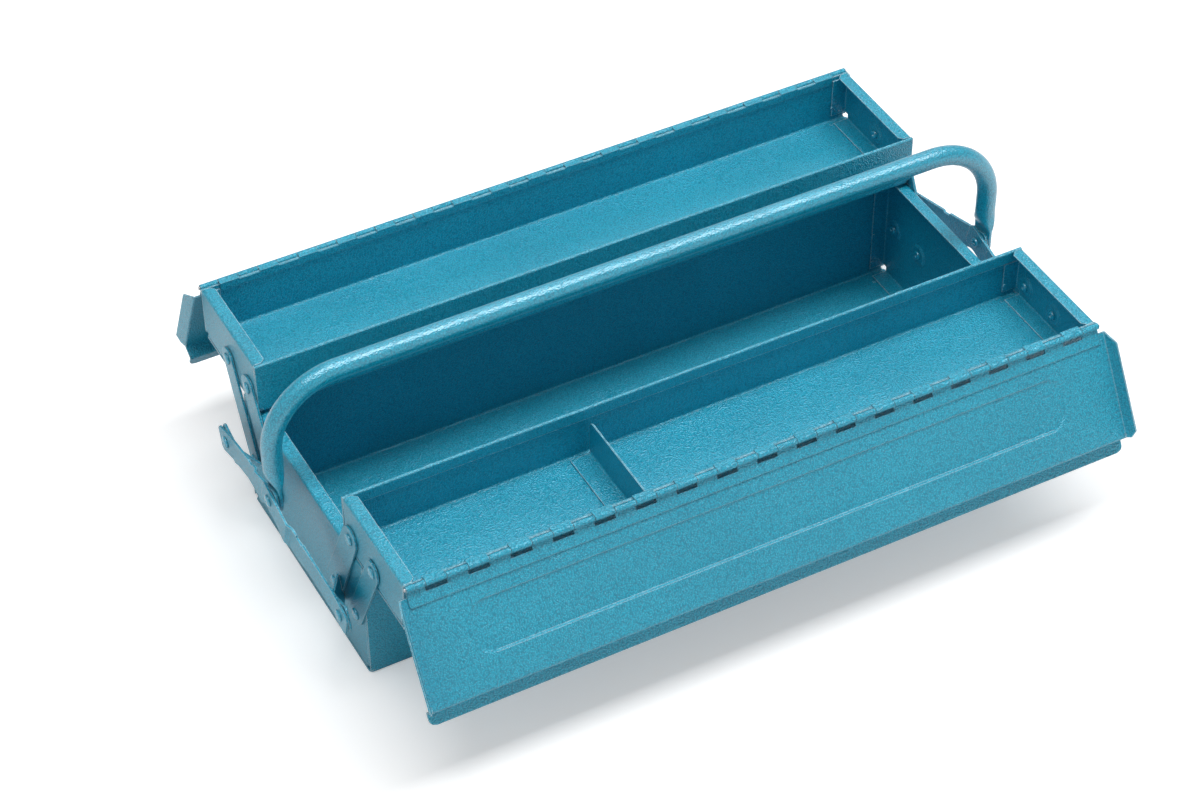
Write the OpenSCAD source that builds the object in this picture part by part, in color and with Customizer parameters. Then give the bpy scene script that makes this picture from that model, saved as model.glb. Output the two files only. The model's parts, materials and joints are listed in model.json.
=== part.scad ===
// Cantilever tool box: a base bin and two lidded trays that swing out to the front and the back
// on parallel arms. Two links at each end join the inner arms to a tubular handle, so that
// lifting the handle draws both trays up and together over the bin.
// Frame: X along the box, Y from front to back, Z up, origin at the middle of the base's underside.
// The trays stand open here.

/* [Box] */
// Length over the end plates
box_l = 470; // [400:5:560]
// Depth of the base bin, front to back
base_d = 174; // [168:1:180]
// Height of the base bin
base_h = 89.5; // [84:0.5:92]
// Thickness of the box and lid sheet
sheet_t = 1; // [0.8:0.1:1.2]
// Depth of one tray, inner wall to outer wall
tray_w = 83; // [76:1:90]
// Height of one tray
tray_h = 37.5; // [32:0.5:44]
// Width of the flange turned in along the top of each end plate
flange_w = 8.5; // [6:0.5:12]
// Width of the tabs that fasten an end plate to the walls and the floor
tab_w = 12; // [8:0.5:15]
// Depth of the hem folded down inside the open edges of the walls
hem_h = 8.5; // [5:0.5:10]
// Inside radius of the bends between walls and floor
bend_r = 1.5; // [1:0.1:3]
// Size of the relief left open at each lower corner
relief = 3; // [2:0.5:4]
// Radius of the dishes pressed in round the pivots
dish_r = 8; // [7:0.5:8]
// Depth of those dishes
dish_depth = 0.8; // [0.4:0.1:1]
// Inside radius of the bends at the edges of the end plates
plate_bend_r = 0.8; // [0.5:0.1:1.2]
// Gap between a closed tray and the rim of the base
rest_gap = 0.9; // [0.5:0.1:1.2]

/* [Divider] */
// Distance of the divider's web from the left end of the front tray
divider_x = 161; // [60:1:400]
// Height of the divider's web
divider_h = 26; // [18:1:30]
// Width of the divider's foot
divider_foot = 14; // [8:1:20]

/* [Lids] */
// How far a lid reaches past the tray at each end
lid_over = 5; // [4.2:0.1:5.4]
// Depth of the flange turned down at each end of a lid
lid_flange = 8; // [5:0.5:12]
// Height of the raised lip along the free edge
lip_rise = 9; // [6:0.5:11]
// Width of the raised lip
lip_w = 9; // [6:0.5:12]
// Lean of the open front lid, outward from the vertical
front_lean = 31; // [20:1:40]
// Lean of the open back lid, outward from the vertical
back_lean = 25; // [20:1:40]
// Height of the raised panel in a lid
emboss_rise = 1.2; // [0.6:0.1:2]
// Distance of the raised panel from the ends of the box
emboss_end = 34; // [25:1:60]
// Distance of the raised panel's edges from the hinge
emboss_from = 22; // [18:1:28]
// Width of the raised panel
emboss_w = 32; // [20:1:38]
// Radius of the raised panel's corners
emboss_r = 10; // [4:0.5:12]

/* [Hinges] */
// Length of one tray knuckle
knuckle_l = 13; // [10:0.5:13]
// Spacing of the tray knuckles
knuckle_pitch = 27; // [26:0.5:27.5]
// Outside radius of the hinge knuckles
knuckle_r = 2; // [1.8:0.1:2.4]
// Radius of the hinge pin
hinge_pin_r = 1; // [0.8:0.1:1.1]
// Thickness of the hinge leaves
leaf_t = 0.9; // [0.7:0.1:1]
// Width of the leaf under a lid
lid_leaf_w = 12; // [9:0.5:16]
// Height of the leaf inside a tray wall
tray_leaf_h = 5; // [4:0.5:7]

/* [Arms and links] */
// Depth of the base pivots below the rim of the base
pivot_drop = 46.2; // [44:0.1:48]
// Distance of the outer base pivots from the walls of the base
base_inset = 11.7; // [11:0.1:13]
// Spacing of the two pivots of a tray or of the base, on one side
pivot_gap = 30.7; // [29:0.1:32]
// Length of the arms, pivot to pivot
arm_len = 68.2; // [67:0.1:70]
// Lean of the arms when the trays are open, outward from the vertical
open_lean = 25.7; // [24:0.1:27]
// Distance of a tray's inner pivots from its inner wall
tray_inset = 11.5; // [10:0.5:14]
// Thickness of the arms and links
bar_t = 1.6; // [1.5:0.1:1.8]
// Half width of an arm at its eyes
arm_r = 7.5; // [6.5:0.5:8]
// Half width of a crank at its tray eye
crank_r = 8.5; // [7.5:0.5:9]
// Half width of a crank at its base eye
crank_base_r = 10; // [8.5:0.5:11]
// Distance of a crank's ear pivot from its base pivot
ear_len = 42; // [40:0.5:43]
// Angle between a crank's arm and its ear
ear_angle = 45; // [44:0.1:46]
// Distance of a crank's ear from the end plate
ear_out = 12.6; // [12:0.1:12.9]
// Half width of a crank's ear and of the ends of a link
link_r = 8.5; // [7:0.5:9]
// How far the cut-off ends of links and ears reach past their pivots
bar_end = 9.5; // [8.5:0.5:10]
// Distance from the handle rivet at which a link bends
link_bend = 24; // [20:0.5:30]

/* [Handle] */
// Diameter of the handle tube
tube_d = 16; // [14:0.5:17]
// Wall of the handle tube
tube_wall = 1.5; // [1.2:0.1:2]
// Width of the handle's flat ends
flat_w = 20; // [18:0.5:22]
// Depth of the handle rivets below the rim of the base when the trays are open
rivet_drop = 7.5; // [6:0.1:9]
// Height of the grip's middle above the handle rivets
handle_h = 86.5; // [82:0.5:92]
// Radius of the handle's bends at the tube's middle
handle_bend = 50; // [42:1:50]
// Distance of the tube's middle from the end plates
handle_out = 17; // [16:0.1:18]

/* [Rivets and clearances] */
// Radius of the pivot rivets
rivet_r = 2.5; // [2:0.1:3]
// Radius of the rivet heads
head_r = 5; // [4:0.1:5.5]
// Height of the rivet heads
head_h = 1.5; // [1:0.1:1.7]
// Radial clearance of everything that turns on a pin or rivet
run_clear = 0.05; // [0.02:0.01:0.1]
// Gap between a moving bar or tray and what it slides past
side_gap = 0.3; // [0.2:0.05:0.4]
// Radial play of the front links on the handle rivets
link_play = 0.5; // [0.5:0.05:0.7]
// Gap between the two trays when they are closed
tray_gap = 1.2; // [0.8:0.1:2]

/* [Hidden] */

$fn = 48;
paint = [0.03, 0.50, 0.60];
paint_light = [0.25, 0.62, 0.70];
paint_dark = [0.02, 0.40, 0.50];
steel = [0.62, 0.64, 0.66];

LEFT = -1;
RIGHT = 1;
FRONT = -1;
BACK = 1;
fit = 0.05;        // gap between pieces that are fastened together
hem_slit = 0.4;    // slit left inside a hem
head_gap = 0.15;   // gap under a rivet's heads
dish_run = 2;      // how much narrower a dish gets for its depth
flange_slit = 1;   // slit between the end plates' tabs and flanges
arc_steps = 4;     // segments in one sheet bend
eye_steps = 20;    // segments in the round end of a bar
hinge_gap = 0.4;   // gap between the hinge knuckles and a tray's outer wall
half_l = box_l / 2;
lap_t = sheet_t + hem_slit;
corner_cut = relief * sqrt(2);

// inner base pivots
crank_y = base_d / 2 - base_inset - pivot_gap;
pivot_z = base_h - pivot_drop;

// arms: the open pose, and the lean at which the trays meet over the bin
tray_pivot = [crank_y + arm_len * sin(open_lean), pivot_z + arm_len * cos(open_lean)];
closed_lean = asin((crank_y - tray_gap / 2 - tray_inset) / arm_len);
tray_pivot_up = pivot_z + arm_len * cos(closed_lean) - base_h - rest_gap;
tray_y0 = tray_pivot[0] - tray_inset;
tray_z0 = tray_pivot[1] - tray_pivot_up;
tray_z1 = tray_z0 + tray_h;

// hinge axis of a tray, outside its outer wall, and the lid's levels above that axis
hinge_y = tray_y0 + tray_w + knuckle_r + hinge_gap;
lid_v = knuckle_r + fit;
hinge_z = tray_z1 + side_gap - (knuckle_r - leaf_t);
lid_reach = hinge_y - tray_y0;
lip_slope = 1.5 * sheet_t;
fold_u = lid_reach - lip_w - lip_slope;
tray_knuckles = floor((box_l - 2 * tab_w - knuckle_l) / knuckle_pitch) + 1;
knuckles_l = (tray_knuckles - 1) * knuckle_pitch + knuckle_l;
slot_u = 2.5 * knuckle_r;
lid_from = slot_u + side_gap;

// links: the ear pivot, the handle rivet above the middle of the box, and the link's slope
ear = [crank_y + ear_len * cos(90 - open_lean - ear_angle),
       pivot_z + ear_len * sin(90 - open_lean - ear_angle)];
handle_z = base_h - rivet_drop;
link_len = norm([ear[0], handle_z - ear[1]]);
link_slope = atan2(handle_z - ear[1], ear[0]);

// Distances of the linkage's layers from an end plate. All layers are bar_t thick. On the handle
// rivets they are stacked in the same order towards the left at both ends: handle, back link,
// front link. At the ears every link lies just outside its crank.
flat_t = 2 * tube_wall;
layer = bar_t + side_gap;
function link_out(side, hand) =
    let (n = hand == BACK ? 0 : 1)
    side == LEFT ? handle_out + flat_t / 2 + side_gap + n * layer
                 : handle_out - flat_t / 2 - (n + 1) * layer;
link_ear_out = ear_out + layer;

// ---------- plane geometry ----------

function unit(v) = v / norm(v);
function turn_left(v) = [-v[1], v[0]];
function arc(c, r, from, to, n) =
    [for (i = [0:n]) let (a = from + (to - from) * i / n) c + r * [cos(a), sin(a)]];
function reversed(list) = [for (i = [len(list) - 1:-1:0]) list[i]];

// A path's corner at b, replaced by an arc of radius r
function corner(a, b, c, r, n) =
    let (u = unit(b - a), w = unit(c - b),
         turn = atan2(u[0] * w[1] - u[1] * w[0], u * w),
         side = turn > 0 ? 1 : -1,
         start = b - u * r * tan(abs(turn) / 2),
         centre = start + side * turn_left(u) * r,
         from = atan2(start[1] - centre[1], start[0] - centre[0]))
    arc(centre, r, from, from + turn, n);
function bent(path, r, n = arc_steps) = concat(
    [path[0]],
    [for (i = [1:len(path) - 2]) each corner(path[i - 1], path[i], path[i + 1], r, n)],
    [path[len(path) - 1]]);

// The path moved sideways by d, with mitred corners
function beside(path, d) =
    [for (i = [0:len(path) - 1])
        let (u = unit(path[max(i, 1)] - path[max(i, 1) - 1]),
             w = unit(path[min(i, len(path) - 2) + 1] - path[min(i, len(path) - 2)]),
             m = unit(turn_left(u) + turn_left(w)))
        path[i] + m * d / (m * turn_left(u))];

// A strip of sheet of thickness t that follows a path along its middle
module strip(path, t) {
    polygon(concat(beside(path, t / 2), reversed(beside(path, -t / 2))));
}

// The outline around two round ends
function bar_outline(p, rp, q, rq) =
    let (d = q - p, a = atan2(d[1], d[0]), lean = asin((rp - rq) / norm(d)))
    concat(arc(p, rp, a + 90 - lean, a + 270 + lean, eye_steps),
           arc(q, rq, a - 90 + lean, a + 90 - lean, eye_steps));

// The last points of a bar cut off square with its corners off, pointing from p in direction a
function cut_end(p, a, r) =
    let (c = r / 4)
    [for (v = [[0, -r], [bar_end - c, -r], [bar_end, c - r], [bar_end, r - c],
               [bar_end - c, r], [0, r]])
        p + [v[0] * cos(a) - v[1] * sin(a), v[0] * sin(a) + v[1] * cos(a)]];

// Extrudes a (Y, Z) outline along X from x
module along_x(x, length) {
    translate([x, 0, 0]) rotate([90, 0, 90]) linear_extrude(length) children();
}

// Draws a piece made for the back right corner at another corner of the box
module at_corner(hand, side) {
    mirror([side == LEFT ? 1 : 0, 0, 0]) mirror([0, hand == FRONT ? 1 : 0, 0]) children();
}

// ---------- sheet boxes ----------

// Front wall, floor and back wall of a box in one bent sheet with hemmed open edges. A wall
// whose hem is 0 keeps a plain edge.
module trough(y0, y1, z0, z1, hem0, hem1) {
    t = sheet_t;
    a = y0 + t / 2;
    b = y1 - t / 2;
    f = z0 + t / 2;
    fold = lap_t / 2;
    top = z1 - t / 2 - fold;
    rim0 = hem0 > 0 ? concat([[a + lap_t, z1 - hem0]], arc([a + fold, top], fold, 0, 180, 6))
                    : [[a, z1]];
    rim1 = hem1 > 0 ? concat(arc([b - fold, top], fold, 0, 180, 6), [[b - lap_t, z1 - hem1]])
                    : [[b, z1]];
    walls = bent([[a, top], [a, f], [b, f], [b, top]], bend_r + t / 2);
    difference() {
        along_x(-half_l, box_l)
            strip(concat(rim0, [for (i = [1:len(walls) - 2]) walls[i]], rim1), t);
        for (x = [-half_l, half_l], y = [y0, y1])
            translate([x, y, z0]) rotate(45)
                cube([corner_cut, corner_cut, 2 * (bend_r + t + relief / 4)], center = true);
    }
}

// Half of an end plate's bent edge: the plate turns into a tab of height z0 to z1 at the wall y
module edge_tab(y, side, z0, z1, plate_y) {
    t = sheet_t;
    x = half_l - t / 2;
    m = y + side * t / 2;
    path = [[half_l - tab_w, m], [x, m], [x, plate_y]];
    translate([0, 0, z0]) linear_extrude(z1 - z0) strip(bent(path, plate_bend_r + t / 2), t);
}

// End plate for the right end, set between the walls: flange at the top, tabs bent in along
// the walls and over the floor, open corners below
module end_plate(y0, y1, z0, z1, hem0, hem1, holes) {
    t = sheet_t;
    x = half_l - t / 2;
    bend = plate_bend_r + t / 2;
    side0 = y0 + t + fit;
    side1 = y1 - t - fit;
    ya = side0 + (hem0 > 0 ? lap_t : 0);
    yb = side1 - (hem1 > 0 ? lap_t : 0);
    floor_m = z0 + t + fit + t / 2;
    tab_z0 = z0 + t + bend_r + relief;
    notch = bend_r + relief;
    path = [[half_l - flange_w, z1 - t / 2], [x, z1 - t / 2], [x, floor_m],
            [half_l - tab_w, floor_m]];
    difference() {
        union() {
            translate([0, yb, 0]) rotate([90, 0, 0]) linear_extrude(yb - ya)
                strip(bent(path, bend), t);
            for (p = holes) dish(p, 0);
            edge_tab(side0, 1, tab_z0, z1 - (hem0 > 0 ? hem0 : t + flange_slit) - flange_slit,
                     y0 + 3 * bend);
            edge_tab(side1, -1, tab_z0, z1 - (hem1 > 0 ? hem1 : t + flange_slit) - flange_slit,
                     y1 - 3 * bend);
        }
        for (p = holes) {
            dish(p, t);
            translate([half_l - 2 * t - dish_depth, p[0], p[1]]) rotate([0, 90, 0])
                cylinder(r = rivet_r + fit, h = 3 * t + dish_depth);
        }
        // open lower corners
        for (y = [y0 + t, y1 - t - notch])
            translate([half_l - tab_w - 1, y, z0]) cube([tab_w + 2, notch, t + notch]);
        // cut-off corners of the flange
        for (y = [ya, yb])
            translate([half_l - flange_w, y, z1]) rotate(45) cube([4, 4, 3 * t], center = true);
    }
}

// A dish's inner face, or its outer face when d is the sheet's thickness
module dish(p, d) {
    sink = sheet_t / 2;
    r = dish_r - d * tan(atan(1 / dish_run) / 2);
    translate([half_l - sheet_t + d, p[0], p[1]]) rotate([0, -90, 0]) translate([0, 0, -sink])
        cylinder(r1 = r + dish_run * sink, r2 = r - dish_run * dish_depth, h = dish_depth + sink);
}

base_holes = [for (s = [-1, 1], y = [crank_y, crank_y + pivot_gap]) [s * y, pivot_z]];
tray_holes = [for (y = [0, pivot_gap]) tray_pivot + [y, 0]];

module base_trough() {
    color(paint) trough(-base_d / 2, base_d / 2, 0, base_h, hem_h, hem_h);
}

module base_end(side) {
    color(paint_dark) at_corner(BACK, side)
        end_plate(-base_d / 2, base_d / 2, 0, base_h, hem_h, hem_h, base_holes);
}

module tray_trough(hand) {
    color(paint) at_corner(hand, RIGHT)
        trough(tray_y0, tray_y0 + tray_w, tray_z0, tray_z1, hem_h, 0);
}

module tray_end(hand, side) {
    color(paint_dark) at_corner(hand, side)
        end_plate(tray_y0, tray_y0 + tray_w, tray_z0, tray_z1, hem_h, 0, tray_holes);
}

// Loose divider: an upright web with a rounded upper corner at each wall and a foot on the floor
module tray_divider() {
    t = sheet_t;
    inset = t + lap_t + side_gap;
    y0 = -tray_y0 - tray_w + inset;
    w = tray_w - 2 * inset;
    z0 = tray_z0 + t + side_gap;
    r = 5;
    color(paint_light) {
        along_x(-half_l + divider_x, t)
            polygon(concat([[y0 + bend_r, z0 + bend_r + t]],
                           [[y0 + w - bend_r, z0 + bend_r + t], [y0 + w, z0 + bend_r + 2 * t]],
                           arc([y0 + w - r, z0 + divider_h - r], r, 0, 90, 6),
                           arc([y0 + r, z0 + divider_h - r], r, 90, 180, 6),
                           [[y0, z0 + bend_r + 2 * t]]));
        translate([0, y0 + w - bend_r, 0]) rotate([90, 0, 0]) linear_extrude(w - 2 * bend_r)
            strip(bent([[-half_l + divider_x + t / 2, z0 + bend_r + 2 * t],
                        [-half_l + divider_x + t / 2, z0 + t / 2],
                        [-half_l + divider_x - divider_foot, z0 + t / 2]], bend_r + t / 2), t);
    }
}

// ---------- hinges and lids ----------

function tray_knuckle_x(i) = -knuckles_l / 2 + i * knuckle_pitch;

module knuckle(x, length) {
    translate([x, 0, 0]) rotate([0, 90, 0]) cylinder(r = knuckle_r, h = length);
}

module hinge_bore() {
    translate([-half_l, 0, 0]) rotate([0, 90, 0]) cylinder(r = hinge_pin_r + run_clear, h = box_l);
}

// Leaf inside a tray's outer wall, with a tongue over the rim to each knuckle.
// Drawn with the hinge axis at the origin, the tray towards -Y.
module tray_leaf() {
    wall = -(knuckle_r + hinge_gap);
    rim = tray_z1 - hinge_z;
    inside = wall - sheet_t - fit;
    difference() {
        union() {
            translate([-knuckles_l / 2, inside - leaf_t, rim - tray_leaf_h])
                cube([knuckles_l, leaf_t, tray_leaf_h]);
            for (i = [0:tray_knuckles - 1]) {
                knuckle(tray_knuckle_x(i), knuckle_l);
                translate([tray_knuckle_x(i), inside - leaf_t, rim + fit])
                    cube([knuckle_l, leaf_t - inside, leaf_t - fit]);
                translate([tray_knuckle_x(i), inside - leaf_t, rim - 1])
                    cube([knuckle_l, leaf_t, 1 + leaf_t]);
            }
        }
        hinge_bore();
    }
}

module tray_hinge_leaf(hand) {
    color(paint) at_corner(hand, RIGHT) translate([0, hinge_y, hinge_z]) tray_leaf();
}

module hinge_pin(hand) {
    color(steel) at_corner(hand, RIGHT)
        translate([-half_l - sheet_t / 2, hinge_y, hinge_z]) rotate([0, 90, 0])
            cylinder(r = hinge_pin_r, h = box_l + sheet_t);
}

// Puts a closed lid, drawn with the hinge axis at the origin and its reach towards -Y, on its
// hinge and swings it open
module lid_place(hand) {
    lean = hand == FRONT ? front_lean : back_lean;
    at_corner(hand, RIGHT) translate([0, hinge_y, hinge_z]) rotate([lean - 270, 0, 0]) children();
}

// Leaf under a lid, with a knuckle between each two of the tray's
module lid_leaf() {
    x0 = -half_l + sheet_t / 2;
    difference() {
        union() {
            translate([x0, -lid_leaf_w, knuckle_r - leaf_t]) cube([-2 * x0, lid_leaf_w, leaf_t]);
            knuckle(x0, -2 * x0);
        }
        for (i = [0:tray_knuckles - 1])
            translate([tray_knuckle_x(i) - side_gap, -slot_u, -knuckle_r - 1])
                cube([knuckle_l + 2 * side_gap, slot_u + knuckle_r + 1, 2 * knuckle_r + 2]);
        hinge_bore();
    }
}

module lid_hinge_leaf(hand) {
    color(paint) lid_place(hand) lid_leaf();
}

// Rounded rectangle for the raised panel, grown by d
module emboss_outline(d) {
    r = emboss_r + d;
    x = half_l - emboss_end + d;
    u0 = emboss_from - d;
    u1 = emboss_from + emboss_w + d;
    polygon(concat(arc([x - r, -u0 - r], r, 0, 90, 6), arc([-x + r, -u0 - r], r, 90, 180, 6),
                   arc([-x + r, -u1 + r], r, 180, 270, 6), arc([x - r, -u1 + r], r, 270, 360, 6)));
}

// Panel with a raised rectangle, a stepped-up lip along the free edge and a flange at each end
module lid_sheet() {
    t = sheet_t;
    v = lid_v + t / 2;
    x = half_l + lid_over;
    lip_v = v + lip_rise;
    chamfer = 4;
    difference() {
        union() {
            along_x(-x + t, 2 * (x - t))
                strip(bent([[-lid_from, v], [-fold_u, v], [-fold_u - lip_slope, lip_v],
                            [-lid_reach, lip_v]], t), t);
            translate([0, 0, lid_v + t]) linear_extrude(emboss_rise) emboss_outline(t);
            for (s = [-1, 1])
                mirror([s < 0 ? 1 : 0, 0, 0]) along_x(x - t, t)
                    polygon([[-lid_from, lid_v + t], [-lid_from, lid_v],
                             [-lid_from - lid_flange, v - lid_flange],
                             [-fold_u + chamfer, v - lid_flange], [-fold_u, v - lid_flange + chamfer],
                             [-fold_u, lid_v + t]]);
        }
        translate([0, 0, lid_v - 1]) linear_extrude(1 + emboss_rise) emboss_outline(0);
        // rounded ends of the lip
        for (s = [-1, 1])
            mirror([s < 0 ? 1 : 0, 0, 0])
                translate([x - lip_w, -lid_reach + lip_w, lip_v - t]) linear_extrude(2 * t)
                    difference() {
                        translate([0, -lip_w - 1]) square([lip_w + 1, lip_w + 1]);
                        circle(r = lip_w - t);
                    }
    }
}

module lid(hand) {
    color(paint) lid_place(hand) lid_sheet();
}

// ---------- arms, cranks and links ----------

// Eye for a rivet through a bar drawn flat
module eye(p, clear) {
    translate([p[0], p[1], -layer]) cylinder(r = rivet_r + clear, h = handle_out + 5 * layer);
}

// Puts a bar, drawn flat with Z as the distance from the end plate, on a base pivot at y
module on_base(hand, side, y) {
    at_corner(hand, side) translate([half_l, y, pivot_z]) rotate([-open_lean, 0, 0])
        rotate([90, 0, 90]) children();
}

module arm(hand, side) {
    color(paint_light) on_base(hand, side, crank_y + pivot_gap) difference() {
        translate([0, 0, side_gap]) linear_extrude(bar_t)
            polygon(bar_outline([0, 0], arm_r, [0, arm_len], arm_r));
        eye([0, 0], run_clear);
        eye([0, arm_len], run_clear);
    }
}

// Bell crank: a flat arm, and an ear that a slope sets out from the arm's plane
module crank(hand, side) {
    e = ear_len * [sin(ear_angle), cos(ear_angle)];
    x0 = side_gap + bar_t / 2;
    x1 = ear_out + bar_t / 2;
    slope = [crank_base_r - 1, ear_len - link_r - 3];
    color(paint_light) on_base(hand, side, crank_y) difference() {
        union() {
            translate([0, 0, side_gap]) linear_extrude(bar_t)
                polygon(bar_outline([0, 0], crank_base_r, [0, arm_len], crank_r));
            rotate(-ear_angle) intersection() {
                linear_extrude(x1 + bar_t)
                    polygon(concat(arc([0, 0], crank_base_r, 180, 360, eye_steps),
                                   cut_end([0, ear_len], 90, link_r)));
                rotate([90, 0, 90]) linear_extrude(4 * crank_base_r, center = true)
                    strip(bent([[-2 * crank_base_r, x0], [slope[0], x0], [slope[1], x1],
                                [ear_len + 2 * link_r, x1]], 2 * bar_t), bar_t);
            }
        }
        eye([0, 0], run_clear);
        eye([0, arm_len], run_clear);
        eye(e, run_clear);
    }
}

// Link from the handle rivet to a crank's ear. A link that starts outside its ear's layer is
// first stepped in by one layer and then slopes to the ear.
module link(hand, side) {
    x0 = link_out(side, hand) + bar_t / 2;
    x1 = link_ear_out + bar_t / 2;
    step = x1 < x0 ? [[link_bend + 2 * layer, x0 - layer]] : [];
    color(paint_light) at_corner(hand, side) translate([half_l, 0, handle_z])
        rotate([-link_slope, 0, 0]) rotate([90, 0, 90]) difference() {
            intersection() {
                linear_extrude(handle_out + 3 * layer + bar_t) link_outline();
                translate([0, 3 * link_r, 0]) rotate([90, 0, 0]) linear_extrude(6 * link_r)
                    strip(concat([[-2 * link_r, x0], [link_bend, x0]], step,
                                 [[link_len - link_r - layer, x1], [link_len + 2 * link_r, x1]]),
                          bar_t);
            }
            eye([0, 0], hand == FRONT ? link_play : run_clear);
            eye([link_len, 0], run_clear);
        }
}

// A link swells out along its lower edge and is notched in its upper edge
module link_outline() {
    r = link_r;
    swell = 3;
    notch = 1.5;
    n = 0.42 * link_len;
    difference() {
        union() {
            polygon(concat(cut_end([link_len, 0], 0, r), cut_end([0, 0], 180, r)));
            polygon([[0.12 * link_len, 1 - r], [0.24 * link_len, -r - swell],
                     [0.44 * link_len, -r - swell], [0.62 * link_len, 1 - r]]);
        }
        polygon([[n - 3 * notch, r + 1], [n - 2 * notch, r - notch], [n + 2 * notch, r - notch],
                 [n + 3 * notch, r + 1]]);
    }
}

// ---------- handle ----------

// Half of the handle's tube, or of its hollow: from the middle round the bend and down the leg
module handle_half(r, leg) {
    x = half_l + handle_out;
    top = handle_z + handle_h;
    c = x - handle_bend;
    rotate([0, 90, 0]) translate([-top, 0, 0]) cylinder(r = r, h = c);
    translate([c, 0, top - handle_bend]) rotate([90, 0, 0])
        rotate_extrude(angle = 90, $fn = 96) translate([handle_bend, 0]) circle(r = r);
    translate([x, 0, leg]) cylinder(r = r, h = top - handle_bend - leg);
}

// Round tube bent twice, with its ends pressed flat round the rivets
module handle() {
    x = half_l + handle_out;
    r = tube_d / 2;
    crease = handle_z + flat_w / 2 + 4;
    leg = crease + tube_d;
    color(paint) difference() {
        union() {
            for (s = [0, 1]) mirror([s, 0, 0]) {
                handle_half(r, leg);
                along_x(x - flat_t / 2, flat_t) {
                    translate([0, handle_z]) circle(d = flat_w);
                    translate([-flat_w / 2, handle_z]) square([flat_w, crease - handle_z]);
                }
                // from the flat end out to the round tube
                hull() {
                    translate([x - flat_t / 2, -flat_w / 2, crease - 0.5])
                        cube([flat_t, flat_w, 0.5]);
                    translate([x, 0, leg]) cylinder(r = r, h = 0.5, $fn = 32);
                }
            }
        }
        for (s = [0, 1]) mirror([s, 0, 0]) handle_half(r - tube_wall, leg + tube_wall);
        for (s = [-1, 1])
            translate([s * x, 0, handle_z]) rotate([0, 90, 0])
                cylinder(r = rivet_r + run_clear, h = 2 * flat_t, center = true);
    }
}

// ---------- rivets ----------

// A rivet along +Z through plates that reach from z0 to z1, in one turned outline
module rivet(z0, z1) {
    a = z0 - head_gap;
    b = z1 + head_gap;
    rotate_extrude() polygon(concat(
        [[0, a - head_h], [head_r * 0.6, a - head_h], [head_r * 0.86, a - head_h * 0.72],
         [head_r, a - head_h * 0.3], [head_r, a], [rivet_r, a]],
        [[rivet_r, b], [head_r, b], [head_r, b + head_h * 0.3],
         [head_r * 0.86, b + head_h * 0.72], [head_r * 0.6, b + head_h], [0, b + head_h]]));
}

// Rivet through an end plate and a bar at (y, z), back right corner
module pivot_rivet(y, z) {
    translate([half_l, y, z]) rotate([0, 90, 0]) rivet(-sheet_t - dish_depth, side_gap + bar_t);
}

module base_pivot_rivets() {
    color(paint_light) for (hand = [FRONT, BACK], side = [LEFT, RIGHT], y = [0, pivot_gap])
        at_corner(hand, side) pivot_rivet(crank_y + y, pivot_z);
}

module tray_rivets(hand) {
    color(paint_light) for (side = [LEFT, RIGHT], y = [0, pivot_gap])
        at_corner(hand, side) pivot_rivet(tray_pivot[0] + y, tray_pivot[1]);
}

// Rivets that join the links to the cranks' ears
module link_rivets(hand) {
    color(paint_light) for (side = [LEFT, RIGHT])
        at_corner(hand, side) translate([half_l, ear[0], ear[1]]) rotate([0, 90, 0])
            rivet(ear_out, link_ear_out + bar_t);
}

// Rivets through the handle's flat ends and both links
module handle_rivets() {
    color(paint_light) for (side = [LEFT, RIGHT]) {
        lo = min(link_out(side, FRONT), handle_out - flat_t / 2);
        hi = max(link_out(side, FRONT) + bar_t, handle_out + flat_t / 2);
        at_corner(BACK, side) translate([half_l, 0, handle_z]) rotate([0, 90, 0]) rivet(lo, hi);
    }
}

base_trough();
base_end(LEFT);  // base_end_left
base_end(RIGHT);  // base_end_right
base_pivot_rivets();
tray_trough(FRONT);  // front_tray_trough
tray_end(FRONT, LEFT);  // front_tray_end_left
tray_end(FRONT, RIGHT);  // front_tray_end_right
tray_rivets(FRONT);  // front_tray_rivets
tray_hinge_leaf(FRONT);  // front_tray_hinge_leaf
hinge_pin(FRONT);  // front_hinge_pin
tray_divider();
tray_trough(BACK);  // back_tray_trough
tray_end(BACK, LEFT);  // back_tray_end_left
tray_end(BACK, RIGHT);  // back_tray_end_right
tray_rivets(BACK);  // back_tray_rivets
tray_hinge_leaf(BACK);  // back_tray_hinge_leaf
hinge_pin(BACK);  // back_hinge_pin
lid(FRONT);  // front_lid
lid_hinge_leaf(FRONT);  // front_lid_hinge_leaf
lid(BACK);  // back_lid
lid_hinge_leaf(BACK);  // back_lid_hinge_leaf
crank(FRONT, LEFT);  // front_crank_left
crank(FRONT, RIGHT);  // front_crank_right
crank(BACK, LEFT);  // back_crank_left
crank(BACK, RIGHT);  // back_crank_right
arm(FRONT, LEFT);  // front_arm_left
arm(FRONT, RIGHT);  // front_arm_right
arm(BACK, LEFT);  // back_arm_left
arm(BACK, RIGHT);  // back_arm_right
link(FRONT, LEFT);  // front_link_left
link(FRONT, RIGHT);  // front_link_right
link(BACK, LEFT);  // back_link_left
link(BACK, RIGHT);  // back_link_right
link_rivets(FRONT);  // front_link_rivets
link_rivets(BACK);  // back_link_rivets
handle();
handle_rivets();
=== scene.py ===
# %% [markdown]
# # A cantilever tool box
# Sheet-steel trays ride on parallel arms over a base bin, and a bent tube joins both ends.
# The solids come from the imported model, already in place and in metres. This file dresses
# them: it gives every piece its enamel and makes the softly pressed or rounded ones anew.
# Lengths here are in millimetres until a mesh is made of them.

# %% Load the solids
import json
import math
import bmesh
import bpy
import numpy as np
from mathutils import Matrix


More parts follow.
